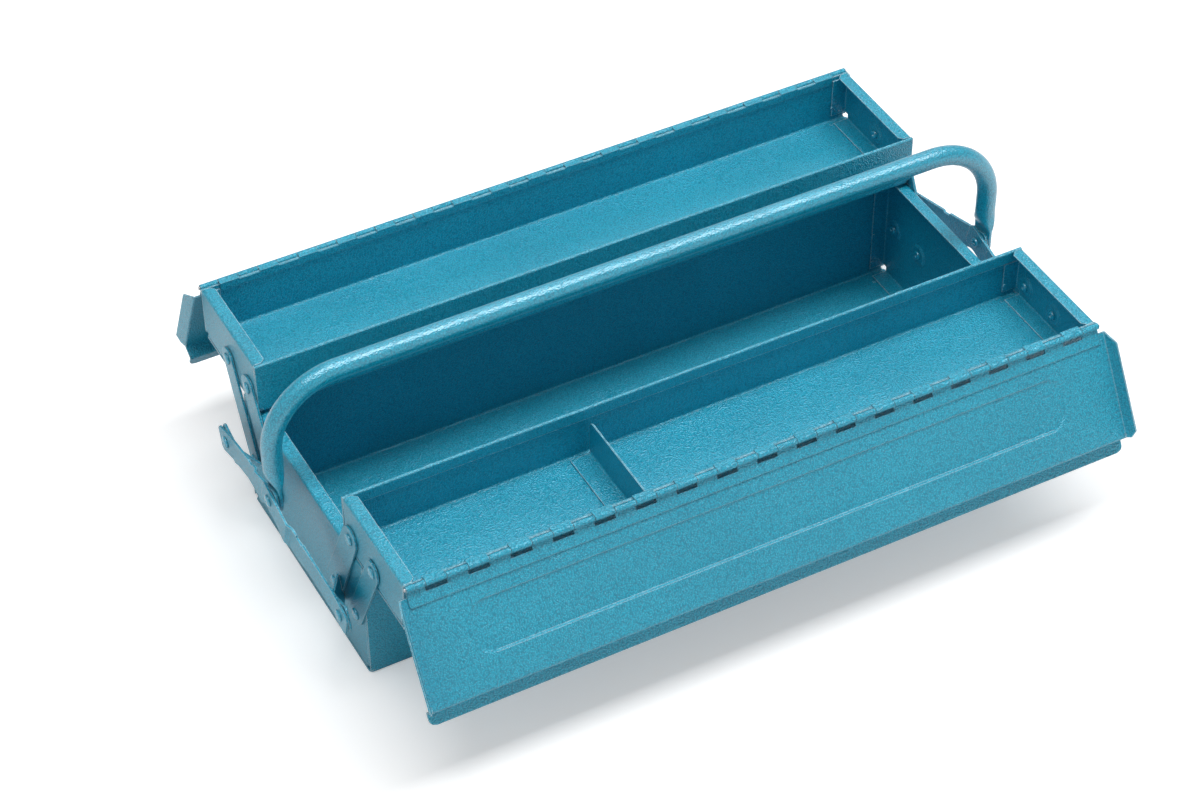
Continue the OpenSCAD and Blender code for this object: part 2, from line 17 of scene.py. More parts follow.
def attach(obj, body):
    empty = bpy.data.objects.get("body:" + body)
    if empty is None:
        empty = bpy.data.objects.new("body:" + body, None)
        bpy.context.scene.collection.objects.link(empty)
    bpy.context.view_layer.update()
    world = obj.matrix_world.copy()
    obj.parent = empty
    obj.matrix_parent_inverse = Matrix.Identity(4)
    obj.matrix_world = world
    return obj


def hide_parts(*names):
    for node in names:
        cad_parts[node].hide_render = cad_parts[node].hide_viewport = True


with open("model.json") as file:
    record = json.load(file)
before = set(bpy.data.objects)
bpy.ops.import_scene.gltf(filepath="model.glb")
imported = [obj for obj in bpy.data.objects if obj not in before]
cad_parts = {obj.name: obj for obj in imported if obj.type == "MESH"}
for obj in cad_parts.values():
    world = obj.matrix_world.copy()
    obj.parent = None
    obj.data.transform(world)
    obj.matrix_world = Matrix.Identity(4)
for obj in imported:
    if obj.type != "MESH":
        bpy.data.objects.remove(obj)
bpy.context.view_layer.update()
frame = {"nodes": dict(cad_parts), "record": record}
MM = 0.001

# %% [markdown]
# ## Camera
# A long lens from the front left and well above, so that all three bins can be looked into.
# The direction is kept as a rotation vector: its length is the angle turned, its direction
# the axis. Rodrigues' formula turns it into a matrix.

# %% Place the camera
camera_turn = (2.25688986, -0.56968519, 0.24131072)
camera_place = (-0.7092, -1.2820, 1.4014)
camera_lens = 94.308


def rotation_from_vector(v):
    """R = I + sin(a) K + (1 - cos(a)) K K: a is v's length, K the cross product with v / a."""
    v = np.array(v)
    a = np.linalg.norm(v)
    x, y, z = v / a
    k = np.array([[0, -z, y], [z, 0, -x], [-y, x, 0]])
    return np.eye(3) + math.sin(a) * k + (1 - math.cos(a)) * k @ k


def place_camera():
    """Rows of R are the camera's right, down and forward; Blender wants right, up and back."""
    right, down, forward = rotation_from_vector(camera_turn)
    data = bpy.data.cameras.new("camera")
    data.sensor_fit = "HORIZONTAL"
    data.sensor_width = 36
    data.lens = camera_lens
    data.clip_end = 50
    camera = bpy.data.objects.new("camera", data)
    bpy.context.scene.collection.objects.link(camera)
    place = np.eye(4)
    place[:3, :3] = np.column_stack([right, -down, -forward])
    place[:3, 3] = camera_place
    camera.matrix_world = Matrix(place.tolist())
    bpy.context.scene.camera = camera
    return camera


camera = place_camera()
print("camera at", tuple(round(c, 3) for c in camera.location), "lens", camera.data.lens)

# %% [markdown]
# ## Floor and light
# A plain white floor under a white sky, and one long soft lamp overhead. The floors of the
# trays face it and turn light, the walls stay deep, and the handle and every round edge that
# runs along the box carry it as a pale band. Two lower lamps stand where floors and lids
# mirror them to the camera: glancing off the dimples of the enamel, they bring out its grain.
# A weaker one on the left opens up the end plates. What the camera sees of floor and sky is
# lifted to white without more light on the box.

# %% Build the floor, the sky and the lamps
def node_tree(owner):
    """Turns nodes on and empties the tree, so that only what is written here is in it."""
    owner.use_nodes = True
    owner.node_tree.nodes.clear()
    return owner.node_tree.nodes, owner.node_tree.links


def make_floor(half=6.0):
    """A square at z = 0. Its diffuse part takes the shadow, its camera part lifts it to white."""
    mesh = bpy.data.meshes.new("floor")
    corners = half * np.array([(-1, -1, 0), (1, -1, 0), (1, 1, 0), (-1, 1, 0)], float)
    mesh.from_pydata(corners.tolist(), [], [(0, 1, 2, 3)])
    floor = bpy.data.objects.new("floor", mesh)
    bpy.context.scene.collection.objects.link(floor)
    material = bpy.data.materials.new("floor_white")
    nodes, links = node_tree(material)
    out = nodes.new("ShaderNodeOutputMaterial")
    diffuse = nodes.new("ShaderNodeBsdfDiffuse")
    diffuse.inputs["Color"].default_value = (0.86, 0.86, 0.86, 1)
    glow = nodes.new("ShaderNodeEmission")
    path = nodes.new("ShaderNodeLightPath")
    seen = nodes.new("ShaderNodeMath")
    seen.operation = "MULTIPLY"
    seen.inputs[1].default_value = 0.34
    add = nodes.new("ShaderNodeAddShader")
    links.new(path.outputs["Is Camera Ray"], seen.inputs[0])
    links.new(seen.outputs[0], glow.inputs["Strength"])
    links.new(diffuse.outputs[0], add.inputs[0])
    links.new(glow.outputs[0], add.inputs[1])
    links.new(add.outputs[0], out.inputs["Surface"])
    mesh.materials.append(material)


def make_sky(strength):
    """White for the camera, a grey of the given strength for everything else."""
    world = bpy.data.worlds.new("studio")
    bpy.context.scene.world = world
    nodes, links = node_tree(world)
    out = nodes.new("ShaderNodeOutputWorld")
    shade = nodes.new("ShaderNodeBackground")
    shade.inputs["Color"].default_value = (1, 1, 1, 1)
    path = nodes.new("ShaderNodeLightPath")
    pick = nodes.new("ShaderNodeMapRange")
    pick.inputs["To Min"].default_value = strength
    pick.inputs["To Max"].default_value = 1.0
    links.new(path.outputs["Is Camera Ray"], pick.inputs["Value"])
    links.new(pick.outputs["Result"], shade.inputs["Strength"])
    links.new(shade.outputs[0], out.inputs["Surface"])


def make_lamp(name, place, aim, length, width, power):
    """A rectangular lamp at place, its face turned to aim and its length level along X."""
    data = bpy.data.lights.new(name, "AREA")
    data.shape = "RECTANGLE"
    data.size, data.size_y = length, width
    data.energy = power
    lamp = bpy.data.objects.new(name, data)
    bpy.context.scene.collection.objects.link(lamp)
    back = np.array(place, float) - np.array(aim, float)
    back /= np.linalg.norm(back)
    right = np.cross((0.0, 1.0, 0.0), back)
    right /= np.linalg.norm(right)
    m = np.eye(4)
    m[:3, :3] = np.column_stack([right, np.cross(back, right), back])
    m[:3, 3] = place
    lamp.matrix_world = Matrix(m.tolist())


make_floor()
make_sky(0.36)
make_lamp("overhead", (0.3, -0.2, 2.5), (0, 0, 0.05), 3.0, 0.9, 58)
make_lamp("behind", (1.05, 1.9, 2.07), (0, 0, 0.05), 2.0, 0.6, 9)
make_lamp("before", (0.9, -2.4, 0.75), (0, 0, 0.1), 2.0, 0.5, 4.5)
make_lamp("left", (-2.2, -0.5, 1.3), (0, 0, 0.1), 1.4, 1.4, 2.5)
bpy.context.scene.view_settings.view_transform = "Standard"

# %% [markdown]
# ## Hammered enamel
# Hammer enamel is a clear glossy coat full of fine pigment that floats into small round
# cells as it dries. Each cell is a shallow dimple, pale in its middle and deeper in tone
# towards its border. Light glancing off the dimples adds to that grain, most of all on faces
# that mirror the lamps. Cells come from a Voronoi texture whose points are stirred by noise,
# and a broad cloud varies the tone. All textures read Object coordinates, so the cells have
# one size on every piece.

# %% Scatter the cells and give them their tone
cell_size = 1.0
deep_teal, mid_teal, pale_teal = (0.000, 0.25, 0.38), (0.002, 0.373, 0.545), (0.018, 0.52, 0.73)
print("cells of", cell_size, "mm in", deep_teal, mid_teal, pale_teal)


def ramp_node(nodes, stops):
    """A colour ramp with the given (position, colour) stops."""
    node = nodes.new("ShaderNodeValToRGB")
    points = node.color_ramp.elements
    while len(points) < len(stops):
        points.new(0.5)
    for point, (position, colour) in zip(points, stops):
        point.position = position
        point.color = (*colour, 1)
    return node


def hammered_cells(nodes, links, place, cell):
    """Distance to the nearest of points scattered about cell apart, in a space stirred by noise."""
    stir = nodes.new("ShaderNodeTexNoise")
    stir.inputs["Scale"].default_value = 0.6 / cell
    stir.inputs["Detail"].default_value = 2
    links.new(place.outputs[0], stir.inputs["Vector"])
    stirred = nodes.new("ShaderNodeVectorMath")
    stirred.operation = "MULTIPLY_ADD"
    stirred.inputs[1].default_value = (cell * 0.9,) * 3
    links.new(stir.outputs["Color"], stirred.inputs[0])
    links.new(place.outputs[0], stirred.inputs[2])
    cells = nodes.new("ShaderNodeTexVoronoi")
    cells.feature = "SMOOTH_F1"
    cells.inputs["Smoothness"].default_value = 0.6
    cells.inputs["Scale"].default_value = 1 / cell
    links.new(stirred.outputs[0], cells.inputs["Vector"])
    return cells


def teal_tone(nodes, links, place, cells):
    """The cloud, and the colour by cell distance + 0.3 * cloud: pale, then mid, then deep."""
    cloud = nodes.new("ShaderNodeTexNoise")
    cloud.inputs["Scale"].default_value = 14
    cloud.inputs["Detail"].default_value = 3
    links.new(place.outputs[0], cloud.inputs["Vector"])
    tone = nodes.new("ShaderNodeMath")
    tone.operation = "MULTIPLY_ADD"
    tone.inputs[1].default_value = 0.3
    links.new(cloud.outputs["Fac"], tone.inputs[0])
    links.new(cells.outputs["Distance"], tone.inputs[2])
    ramp = ramp_node(nodes, [(0.20, pale_teal), (0.50, mid_teal), (0.90, deep_teal)])
    links.new(tone.outputs[0], ramp.inputs[0])
    return cloud, ramp

# %% [markdown]
# Along its edges the coat is painted paler: a painted highlight that stands in for the light a
# rounded rim catches. A Bevel node gives the
# normal that a rounded edge would have: where it turns away from the face's own, the piece
# has an edge. The same node rounds the edge's gloss, with no more faces in the mesh.

# %% Paint a highlight on the edges
# Pale teal of the painted highlight on edges, standing in for the light that rounded rims catch.
edge_highlight_teal = (0.80, 0.97, 1.0)
print("rims in", edge_highlight_teal)


def painted_edge_highlight(nodes, links, ramp, round_off, edge):
    """The rounded normal, and the colour mixed towards the painted highlight's pale teal by how far
    that normal turns away.

    The mix runs from 0 where the cosine between rounded and flat normal is 0.98 to edge
    where it is 0.78."""
    round_edge = nodes.new("ShaderNodeBevel")
    round_edge.samples = 4
    round_edge.inputs["Radius"].default_value = round_off * MM
    flat = nodes.new("ShaderNodeNewGeometry")
    meet = nodes.new("ShaderNodeVectorMath")
    meet.operation = "DOT_PRODUCT"
    links.new(round_edge.outputs[0], meet.inputs[0])
    links.new(flat.outputs["Normal"], meet.inputs[1])
    # Mask of the painted edge highlight: 0 on flat faces, rising to edge at an edge.
    rim = nodes.new("ShaderNodeMapRange")
    rim.inputs["From Min"].default_value = 0.98
    rim.inputs["From Max"].default_value = 0.78
    rim.inputs["To Max"].default_value = edge
    links.new(meet.outputs["Value"], rim.inputs["Value"])
    # Mixes the painted highlight into the enamel's colour.
    highlight_mix = nodes.new("ShaderNodeMix")
    highlight_mix.data_type = "RGBA"
    highlight_mix.inputs["B"].default_value = (*edge_highlight_teal, 1)
    links.new(rim.outputs["Result"], highlight_mix.inputs["Factor"])
    links.new(ramp.outputs["Color"], highlight_mix.inputs["A"])
    return round_edge, highlight_mix

# %% [markdown]
# The coat is one shader with a clear layer over it, both bumped by the dimples. Each kind of
# piece gets its own: the box's sheet has the strongest painted highlight on its edges, and the
# rivets and the tube, being smooth and round, are glossier and less dimpled.

# %% Make the enamels
def make_enamel(name, shift=0.0, edge=0.8, round_off=0.9, rough=0.30, relief=0.6, coat=1.5):
    """Teal enamel; shift moves its pattern, so that no two kinds of piece share it.

    Edges take a painted highlight, paler by the share edge, within round_off millimetres. rough is
    the lowest roughness, relief the dimples' depth in millimetres and coat the clear coat's index."""
    material = bpy.data.materials.new(name)
    nodes, links = node_tree(material)
    out = nodes.new("ShaderNodeOutputMaterial")
    paint = nodes.new("ShaderNodeBsdfPrincipled")
    where = nodes.new("ShaderNodeTexCoord")
    place = nodes.new("ShaderNodeMapping")
    place.inputs["Location"].default_value = (shift, shift * 0.7, shift * 0.4)
    links.new(where.outputs["Object"], place.inputs["Vector"])

    cells = hammered_cells(nodes, links, place, cell_size * MM)
    cloud, ramp = teal_tone(nodes, links, place, cells)
    round_edge, highlight_mix = painted_edge_highlight(nodes, links, ramp, round_off, edge)
    links.new(highlight_mix.outputs["Result"], paint.inputs["Base Color"])

    gloss = nodes.new("ShaderNodeMapRange")
    gloss.inputs["To Min"].default_value = rough
    gloss.inputs["To Max"].default_value = rough + 0.12
    links.new(cloud.outputs["Fac"], gloss.inputs["Value"])
    links.new(gloss.outputs["Result"], paint.inputs["Roughness"])
    paint.inputs["Metallic"].default_value = 0.1
    paint.inputs["Coat Weight"].default_value = 0.8
    paint.inputs["Coat Roughness"].default_value = 0.22
    paint.inputs["Coat IOR"].default_value = coat

    dimple = nodes.new("ShaderNodeBump")
    dimple.inputs["Strength"].default_value = 1.0
    dimple.inputs["Distance"].default_value = relief * MM
    links.new(cells.outputs["Distance"], dimple.inputs["Height"])
    links.new(round_edge.outputs[0], dimple.inputs["Normal"])
    links.new(dimple.outputs[0], paint.inputs["Normal"])
    links.new(dimple.outputs[0], paint.inputs["Coat Normal"])
    links.new(paint.outputs[0], out.inputs["Surface"])
    return material


# edge sets how strong each enamel's painted edge highlight is.
enamel = {
    "box_paint": make_enamel("box_enamel", edge=0.95),
    "lid_paint": make_enamel("lid_enamel", shift=0.31),
    "hinge_paint": make_enamel("hinge_enamel", shift=0.57, edge=0.2),
    "arm_paint": make_enamel("arm_enamel", shift=0.83, edge=0.6),
    "handle_paint": make_enamel("handle_enamel", shift=1.21, edge=0, rough=0.25, relief=0.25,
                                coat=1.9),
    "rivets": make_enamel("rivet_enamel", shift=1.7, round_off=0.25, rough=0.2, relief=0.1,
                          coat=2.0),
}
print("enamels:", sorted(enamel))

# %% [markdown]
# ## Bare wire
# The hinge pins are drawn steel wire. They show only at the ends of the hinges: a grey
# metal with fine streaks along the wire is enough.

# %% Make the wire's steel
def make_wire_steel():
    """Grey metal; a noise stretched along X is the drawing marks."""
    material = bpy.data.materials.new("wire_steel")
    nodes, links = node_tree(material)
    out = nodes.new("ShaderNodeOutputMaterial")
    metal = nodes.new("ShaderNodeBsdfPrincipled")
    metal.inputs["Metallic"].default_value = 1.0
    where = nodes.new("ShaderNodeTexCoord")
    place = nodes.new("ShaderNodeMapping")
    place.inputs["Scale"].default_value = (30, 900, 900)
    streak = nodes.new("ShaderNodeTexNoise")
    streak.inputs["Scale"].default_value = 1
    ramp = ramp_node(nodes, [(0.3, (0.36, 0.37, 0.38)), (0.7, (0.62, 0.64, 0.66))])
    links.new(where.outputs["Object"], place.inputs["Vector"])
    links.new(place.outputs[0], streak.inputs["Vector"])
    links.new(streak.outputs["Fac"], ramp.inputs[0])
    links.new(ramp.outputs["Color"], metal.inputs["Base Color"])
    metal.inputs["Roughness"].default_value = 0.34
    links.new(metal.outputs[0], out.inputs["Surface"])
    return material


enamel["steel"] = make_wire_steel()

# %% [markdown]
# Every solid names the material slot that it is painted from, so one loop paints them all.

# %% Paint the solids
slot_of = {part["node"]: part["material_slot"] for part in frame["record"]["subparts"]}
for node, solid in frame["nodes"].items():
    solid.data.materials.clear()
    solid.data.materials.append(enamel[slot_of[node]])
print("painted:", len(slot_of))

# %% [markdown]
# ## Sizes for the new pieces
# The same values as in the solids, worked out in the same way, so that each new piece lies
# where its solid does: the links' layers, the open lean of the arms, then the pivots, hinges
# and ears that follow from them.

# %% Work out the sizes
half_l, sheet, bar, dish = 235.0, 1.0, 1.6, 0.8
fit, side_gap, rest_gap, tray_gap, hinge_gap = 0.05, 0.3, 0.9, 1.2, 0.4
base_d, base_h, base_inset, pivot_drop, pivot_gap = 174.0, 89.5, 11.7, 46.2, 30.7
tray_w, tray_h, tray_inset, tab_w = 83.0, 37.5, 11.5, 12.0
arm_len, open_lean = 68.2, math.radians(25.7)
ear_len, ear_angle, ear_out = 42.0, math.radians(45), 12.6
knuckle_r, leaf_t = 2.0, 0.9
handle_out, flat_t, rivet_drop = 17.0, 3.0, 7.5

layer = bar + side_gap
crank_y = base_d / 2 - base_inset - pivot_gap
pivot_z, handle_z = base_h - pivot_drop, base_h - rivet_drop
closed_lean = math.asin((crank_y - tray_gap / 2 - tray_inset) / arm_len)
tray_pivot = (crank_y + arm_len * math.sin(open_lean), pivot_z + arm_len * math.cos(open_lean))
tray_y0 = tray_pivot[0] - tray_inset
tray_z0 = base_h + rest_gap + arm_len * (math.cos(open_lean) - math.cos(closed_lean))
hinge_y = tray_y0 + tray_w + knuckle_r + hinge_gap
hinge_z = tray_z0 + tray_h + side_gap - (knuckle_r - leaf_t)
ear_rise = math.pi / 2 - open_lean - ear_angle
ear = (crank_y + ear_len * math.cos(ear_rise), pivot_z + ear_len * math.sin(ear_rise))
print("tray pivot", tray_pivot, "hinge", (hinge_y, hinge_z), "ear", ear)

# %% [markdown]
# ## Grids, plates and lathes
# Three tools make all the new pieces. A grid of points is skinned with quads; a plate wraps a
# grid on both sides and round its edge, as sheet metal; a lathe turns an outline round the
# X axis, as a rivet or a spot weld.

# %% Mesh tools
def grid_quads(rows, cols, wrap=False):
    """Quads of a grid numbered row by row. With wrap the last column is joined to the first."""
    r = np.arange(rows - 1)[:, None] * cols
    c = np.arange(cols if wrap else cols - 1)[None, :]
    a, b = r + c, r + (c + 1) % cols
    return np.stack([a, b, b + cols, a + cols], -1).reshape(-1, 4)


def plate(mid, normal, t):
    """Skin of thickness t round the grid mid: mid plus and minus t / 2 times normal, and a rim."""
    rows, cols = mid.shape[:2]
    n = rows * cols
    points = np.concatenate([mid + normal * t / 2, mid - normal * t / 2]).reshape(-1, 3)
    faces = grid_quads(rows, cols)
    rim = np.concatenate([np.arange(cols), np.arange(2, rows + 1) * cols - 1,
                          n - np.arange(2, cols + 1), np.arange(rows - 2, 0, -1) * cols])
    ahead = np.roll(rim, -1)
    side = np.stack([rim, rim + n, ahead + n, ahead], -1)
    return points, [faces, faces[:, ::-1] + n, side]


def lathe(outline, turns=32):
    """Turns (distance along X, radius) points round the X axis: (x, r cos a, r sin a)."""
    outline = np.array(outline, float)
    a = np.arange(turns) * 2 * math.pi / turns
    x, r = outline[:, :1], outline[:, 1:]
    points = np.stack([x + 0 * a, r * np.cos(a), r * np.sin(a)], -1).reshape(-1, 3)
    return points, [grid_quads(len(outline), turns, wrap=True)]


def make_piece(name, parts, body, slot, stands_for=(), flat_above=35):
    """A smooth-shaded mesh of all parts that rides body. Edges over flat_above stay sharp.

    A part is its points and a list of face arrays, each with its own number of corners."""
    points = np.concatenate([p for p, arrays in parts])
    starts = np.cumsum([0] + [len(p) for p, arrays in parts])
    faces = [face for (p, arrays), start in zip(parts, starts)
             for array in arrays for face in (array + start).tolist()]
    mesh = bpy.data.meshes.new(name)
    mesh.from_pydata((points * MM).tolist(), [], faces)
    shape = bmesh.new()
    shape.from_mesh(mesh)
    bmesh.ops.remove_doubles(shape, verts=shape.verts, dist=1e-6)
    bmesh.ops.recalc_face_normals(shape, faces=shape.faces)
    shape.to_mesh(mesh)
    shape.free()
    mesh.shade_smooth()
    mesh.set_sharp_from_angle(angle=math.radians(flat_above))
    mesh.materials.append(enamel[slot])
    piece = bpy.data.objects.new(name, mesh)
    bpy.context.scene.collection.objects.link(piece)
    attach(piece, body)
    if stands_for:
        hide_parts(*stands_for)
    print(name, len(mesh.polygons), "faces on", body)


def smooth_step(x):
    """0 below 0, 1 above 1 and 3 x x - 2 x x x between."""
    x = np.clip(x, 0, 1)
    return x * x * (3 - 2 * x)

# %% [markdown]
# ## Handle
# One steel tube, bent twice over a former. Its ends are pressed flat between dies round the
# rivet holes, so the round section turns over a short swage into a flat strip that is wider
# than the tube. The section is a superellipse whose power falls from 6 (nearly a rectangle)
# to 2 (a circle). The flat starts with a crease, where the die's edge was. The tube is
# slimmer than its solid and its grip 2 mm lower; its flats lie on the solid's, at the rivets.

# %% Loft the handle
handle_h, handle_bend, tube_r, flat_r = 84.5, 46.0, 6.5, 8.5
crease_h, swage = 12.5, 13


def handle_half(turns=48):
    """Sections from the tip of the flat end to the middle of the grip, for the right half.

    Each point is path + half thickness * |sin|^(2/p) outward + half width * |cos|^(2/p) along Y."""
    x, top, bend = half_l + handle_out, handle_z + handle_h, handle_bend
    tip = handle_z - flat_r * np.cos(np.radians([10, 25, 40, 55, 72, 90]))
    crease = handle_z + crease_h
    leg = np.concatenate([tip, [handle_z + 7, crease - 0.4],
                          crease + swage * np.linspace(0, 1, 15),
                          np.linspace(crease + swage + 1, top - bend, 3)])
    turn = np.radians(np.linspace(0, 90, 25))[1:]
    path = np.concatenate([
        np.stack([np.full_like(leg, x), leg], -1),
        np.stack([x - bend + bend * np.cos(turn), top - bend + bend * np.sin(turn)], -1),
        [[100.0, top], [0.0, top]]])
    out = np.zeros_like(path)
    out[:len(leg), 0] = 1
    out[len(leg):len(leg) + len(turn)] = np.stack([np.cos(turn), np.sin(turn)], -1)
    out[-2:] = (0, 1)
    rise = np.clip((path[:, 1] - crease) / swage, 0, 1)
    rise[len(leg):] = 1
    wide = flat_r - (flat_r - tube_r) * smooth_step(rise)
    wide[:len(tip)] = np.sqrt(np.maximum(flat_r ** 2 - (tip - handle_z) ** 2, 0.01))
    thick = flat_t / 2 + (tube_r - flat_t / 2) * np.sin(rise * math.pi / 2)
    power = 2 + 4 * (1 - rise) ** 2
    a = np.arange(turns) * 2 * math.pi / turns
    c = np.sign(np.cos(a)) * np.abs(np.cos(a)) ** (2 / power[:, None])
    s = np.sign(np.sin(a)) * np.abs(np.sin(a)) ** (2 / power[:, None])
    flat = path[:, None, :] + out[:, None, :] * (thick[:, None] * s)[..., None]
    return np.stack([flat[..., 0], wide[:, None] * c, flat[..., 1]], -1)


right = handle_half()
rings = np.concatenate([right, (right[::-1] * (-1, 1, 1))[1:]])
rows, turns = rings.shape[:2]
tips = np.stack([np.arange(turns), np.arange(turns) + (rows - 1) * turns])
make_piece("handle_tube", [(rings.reshape(-1, 3), [grid_quads(rows, turns, wrap=True), tips])],
           "handle", "handle_paint", ["handle"], flat_above=50)

# %% [markdown]
# ## Lids
# Each lid is one blank: a long panel stiffened by a raised rectangle, a lip stepped up along
# the free edge, and a flange folded down at each end. A press gives every one of these a
# soft shoulder. The panel is a grid along its outline, and the rectangle lifts each point
# by its distance inside a rounded rectangle, smoothed over the shoulder. The grid's lines
# crowd together only where the shoulders are. The flanges spring back from square after the
# bend, and so lean outward.
#
# A lid is made closed, with its hinge's axis at the origin and reaching to -Y. Distances
# from the hinge are called u, heights above its axis v.

# %% Outlines and their normals
lid_over, lip_rise, lip_w, lip_slope = 5.0, 9.0, 9.0, 1.5
flange_bend, flange_lean = 1.1, 22
lid_v = knuckle_r + fit
lid_level = lid_v + sheet / 2
lid_from = 2.5 * knuckle_r + side_gap
lid_reach = tray_w + knuckle_r + hinge_gap
fold_u = lid_reach - lip_w - lip_slope
bend_x = half_l + lid_over - sheet / 2 - flange_bend
print("lid from", lid_from, "fold", fold_u, "reach", lid_reach, "end bend at", bend_x)


def rounded_path(corners, radius, steps=5):
    """The path with each inner corner replaced by an arc tangent to both of its sides."""
    corners = np.array(corners, float)
    path = [corners[0]]
    for before, at, after in zip(corners, corners[1:], corners[2:]):
        u = (at - before) / np.linalg.norm(at - before)
        w = (after - at) / np.linalg.norm(after - at)
        turn = math.atan2(u[0] * w[1] - u[1] * w[0], u @ w)
        reach = radius * math.tan(abs(turn) / 2)
        for f in np.linspace(0, 1, steps + 1):
            # weights of a circle as a rational curve through the corner
            k = math.cos(turn / 2)
            a, b, c = (1 - f) ** 2, 2 * f * (1 - f) * k, f * f
            path.append(((at - reach * u) * a + at * b + (at + reach * w) * c) / (a + b + c))
    path.append(corners[-1])
    return np.array(path)


def left_of(path):
    """Unit normals to the left of a path, halfway between those of the two sides at a point."""
    step = np.diff(path, axis=0)
    step /= np.linalg.norm(step, axis=1)[:, None]
    mean = np.concatenate([step[:1], step[:-1] + step[1:], step[-1:]])
    mean /= np.linalg.norm(mean, axis=1)[:, None]
    return np.stack([-mean[:, 1], mean[:, 0]], -1)

# %% [markdown]
# The panel's rows follow the outline from the hinge to the lip, its columns lie across it.
# Past plain_x the columns are spread so that the last one lies on the sheet's edge, which
# is rounded at the lip's corners. A flange's rows run down the bend, its columns along the lid.

# %% Press the panel and fold the flanges
emboss_rise, emboss_end, emboss_from, emboss_w, emboss_r = 1.2, 34.0, 22.0, 32.0, 10.0
fine = 0.6
print("panel raised", emboss_rise, "mm, grid lines over its shoulders every", fine, "mm")


def panel_lift(x, u):
    """emboss_rise inside the rounded rectangle, falling to 0 over its shoulder.

    The shoulder is 1.3 mm wide along the long sides and 4.5 mm at the ends, where the press
    draws the sheet less."""
    qx = np.abs(x) - (half_l - emboss_end) + emboss_r
    qu = np.abs(u - emboss_from - emboss_w / 2) - emboss_w / 2 + emboss_r
    past_x, past_u = np.maximum(qx, 0), np.maximum(qu, 0)
    corner = np.hypot(past_x, past_u)
    outside = corner + np.minimum(np.maximum(qx, qu), 0) - emboss_r
    run = 1.3 + 3.2 * past_x / np.maximum(corner, 1e-9)
    return emboss_rise * (1 - smooth_step(outside / run + 0.5))


def lid_panel(plain_x=205, lip_past=1, lip_bend=1.6, lip_corner=4.5):
    """Each point is (x, -u, v) of the outline plus panel_lift along its normal."""
    near = np.concatenate([[lid_from, 9, 14, 19], np.arange(20.4, 35, fine), [38, 40.6],
                           np.arange(41.4, 56, fine), [60, 66, 70]])
    flat = np.stack([near, np.full_like(near, lid_level)], -1)
    lip_level = lid_level + lip_rise
    step = rounded_path([(71, lid_level), (fold_u, lid_level), (fold_u + lip_slope, lip_level),
                         (lid_reach, lip_level)], lip_bend)
    lip = np.linspace(step[-2], step[-1], 9)
    path = np.concatenate([flat, step[:-2], lip])
    normal = left_of(path)
    u = path[:, 0]
    lip_x = bend_x + lip_past
    half = np.where(u < fold_u - lip_slope, bend_x, lip_x)
    past = np.maximum(u - lid_reach + lip_corner, 0) / lip_corner
    rounded = half_l + (lip_x - half_l) * np.sqrt(np.maximum(1 - past ** 2, 0))
    half = np.where(past > 0, rounded, half)
    side = np.concatenate([np.arange(187, 203.5, fine), [208, 216, 224, 231, half_l, bend_x]])
    x = np.concatenate([-side[::-1], np.linspace(-180, 180, 10), side])
    spread = plain_x + (np.abs(x) - plain_x) * (half[:, None] - plain_x) / (bend_x - plain_x)
    xs = np.where(np.abs(x) > plain_x, np.sign(x) * spread, x + 0 * half[:, None])
    mid = np.stack([xs, -u[:, None] + 0 * xs, path[:, 1][:, None] + 0 * xs], -1)
    out = np.stack([0 * xs, -normal[:, :1] + 0 * xs, normal[:, 1:] + 0 * xs], -1)
    mid = mid + out * panel_lift(xs, u[:, None] + 0 * xs)[..., None]
    return plate(mid, out, sheet)


def lid_flange(hand, slant=1.067, cut_v=-1.25):
    """An arc from level to flange_lean off upright, then straight, carried along the lid.

    Towards the hinge its edge runs back by slant times the depth, and below cut_v its far
    corner is cut off at 45 degrees."""
    a = np.radians(np.linspace(90, flange_lean, 7))
    arc = np.stack([bend_x + flange_bend * np.cos(a),
                    lid_level - flange_bend + flange_bend * np.sin(a)], -1)
    v = np.array([0.5, -0.5, cut_v, -2.25, -3.25, -4.25, -5.25])
    straight = np.stack([arc[-1, 0] + (arc[-1, 1] - v) * math.tan(a[-1]), v], -1)
    path = np.concatenate([arc, straight])
    normal = left_of(path)
    v = path[:, 1]
    first = lid_from + slant * np.maximum(lid_v - v, 0)
    last = fold_u - np.maximum(cut_v - v, 0)
    u = first[:, None] + (last - first)[:, None] * np.linspace(0, 1, 24)
    mid = np.stack([hand * path[:, :1] + 0 * u, -u, v[:, None] + 0 * u], -1)
    out = np.stack([hand * normal[:, :1] + 0 * u, 0 * u, normal[:, 1:] + 0 * u], -1)
    return plate(mid, out, sheet)


def swung(parts, lean, hand):
    """The closed lid turned open about X to lean degrees past the vertical, on its hinge."""
    a = math.radians(lean - 270)
    turn = np.array([[1, 0, 0], [0, math.cos(a), -math.sin(a)], [0, math.sin(a), math.cos(a)]])
    return [((points @ turn.T + (0, hinge_y, hinge_z)) * (1, hand, 1), arrays)
            for points, arrays in parts]


front_lean, back_lean = 31, 25
lid = [lid_panel(), lid_flange(-1), lid_flange(1)]
make_piece("front_lid_sheet", swung(lid, front_lean, -1), "front_lid", "lid_paint", ["front_lid"])
make_piece("back_lid_sheet", swung(lid, back_lean, 1), "back_lid", "lid_paint", ["back_lid"])

# %% [markdown]
# ## Rivets
# The pivots are semi-tubular rivets. Outside there is a low dome; inside, the drilled end of
# the shank is rolled over into a ring with a pit in its middle. Both are one turned outline,
# the ring first. An outline's two ends lie on the axis, which closes the skin.

# %% Turn the rivets
head_gap = 0.15


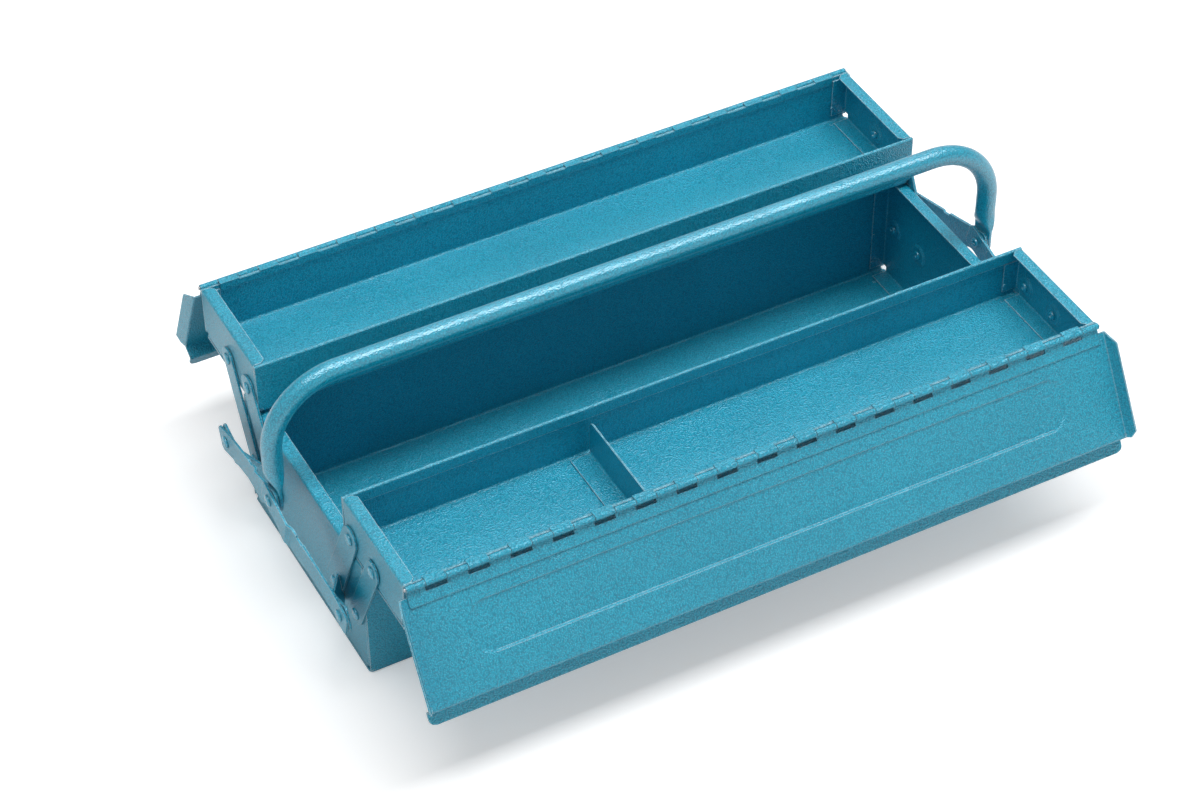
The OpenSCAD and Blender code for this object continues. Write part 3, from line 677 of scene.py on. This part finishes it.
def rivet(low, high):
    """Outline of a rivet through plates from low to high: rolled ring, shank, then domed head."""
    ring = [(-0.25, 0), (-0.35, 0.7), (-0.8, 1.0), (-1.35, 1.35), (-1.5, 1.8), (-1.45, 2.3),
            (-1.1, 2.8), (-0.5, 3.1), (0, 3.15), (0, 2.5)]
    head = [(0, 2.5), (0, 3.9), (0.35, 3.95), (0.75, 3.75), (1.15, 3.1), (1.4, 2.2), (1.47, 1.2),
            (1.47, 0.8), (1.3, 0.35), (1.25, 0)]
    return lathe([(low - head_gap + z, r) for z, r in ring]
                 + [(high + head_gap + z, r) for z, r in head])


def placed(part, y, z, side):
    """The part moved out to an end plate at (y, z); side -1 mirrors it to the left end."""
    points, arrays = part
    return (points + (half_l, y, z)) * (side, 1, 1), arrays


both = (-1, 1)
pivot = rivet(-sheet - dish, side_gap + bar)
make_piece("base_rivets", [placed(pivot, hand * (crank_y + y), pivot_z, side)
                           for side in both for hand in both for y in (0, pivot_gap)],
           "base", "rivets", ["base_pivot_rivets"])
for hand, name in ((-1, "front"), (1, "back")):
    make_piece(name + "_tray_rivet_set",
               [placed(pivot, hand * (tray_pivot[0] + y), tray_pivot[1], side)
                for side in both for y in (0, pivot_gap)],
               name + "_tray", "rivets", [name + "_tray_rivets"])
    make_piece(name + "_ear_rivets",
               [placed(rivet(ear_out, ear_out + layer + bar), hand * ear[0], ear[1], side)
                for side in both],
               name + "_cranks", "rivets", [name + "_link_rivets"])
inner, outer = handle_out - flat_t / 2, handle_out + flat_t / 2
handle_layers = {-1: (inner, outer + side_gap + layer + bar), 1: (inner - 2 * layer, outer)}
make_piece("handle_rivet_set",
           [placed(rivet(*handle_layers[side]), 0, handle_z, side) for side in both],
           "handle", "rivets", ["handle_rivets"])

# %% [markdown]
# ## Spot welds
# Each tab of an end plate is spot-welded to the wall or floor that it lies on. The electrode
# squeezes out a small bead beside the tab's edge, and enamel rounds it off.

# %% Add the weld beads
def bead(place, facing, radius=1.3, height=0.45):
    """A low dome at place: a lathe whose axis is turned from X to facing."""
    a = np.linspace(0, math.pi / 2, 5)
    dome = [(height * math.sin(t), radius * math.cos(t)) for t in a[:-1]]
    points, arrays = lathe([(-0.2, 0), (-0.2, radius)] + dome + [(height, 0)], 12)
    axis = np.array(facing, float)
    other = np.roll(axis, 1)
    turn = np.stack([axis, other, np.cross(axis, other)], -1)
    return points @ turn.T + place, arrays


def beads(y0, y1, z0, heights, hems, hem_slit=0.4):
    """Beads at the tabs of both ends of a box, on its two walls and on its floor.

    A wall's beads lie at heights and stand off it by the tab, and by the hem as well where
    hems has a 1. The floor's lie beside the tab's edge, at 6 and 94 percent of the way across."""
    x = half_l - tab_w
    off_tab, off_hem = sheet + fit, sheet + hem_slit
    spots = []
    for side in both:
        for y, facing, hem in ((y0, 1, hems[0]), (y1, -1, hems[1])):
            at = y + facing * sheet + facing * (off_tab + off_hem * hem)
            spots += [bead((side * (x + 0.3), at, z0 + h), (0, facing, 0)) for h in heights]
        spots += [bead((side * (x - 1.5), y0 + f * (y1 - y0), z0 + sheet), (0, 0, 1))
                  for f in (0.06, 0.94)]
    return spots


make_piece("base_welds", beads(-base_d / 2, base_d / 2, 0, (12, 36), (1, 1)), "base", "box_paint")
make_piece("back_tray_welds", beads(tray_y0, tray_y0 + tray_w, tray_z0, (12,), (1, 0)),
           "back_tray", "box_paint")
make_piece("front_tray_welds", beads(-tray_y0 - tray_w, -tray_y0, tray_z0, (12,), (0, 1)),
           "front_tray", "box_paint")
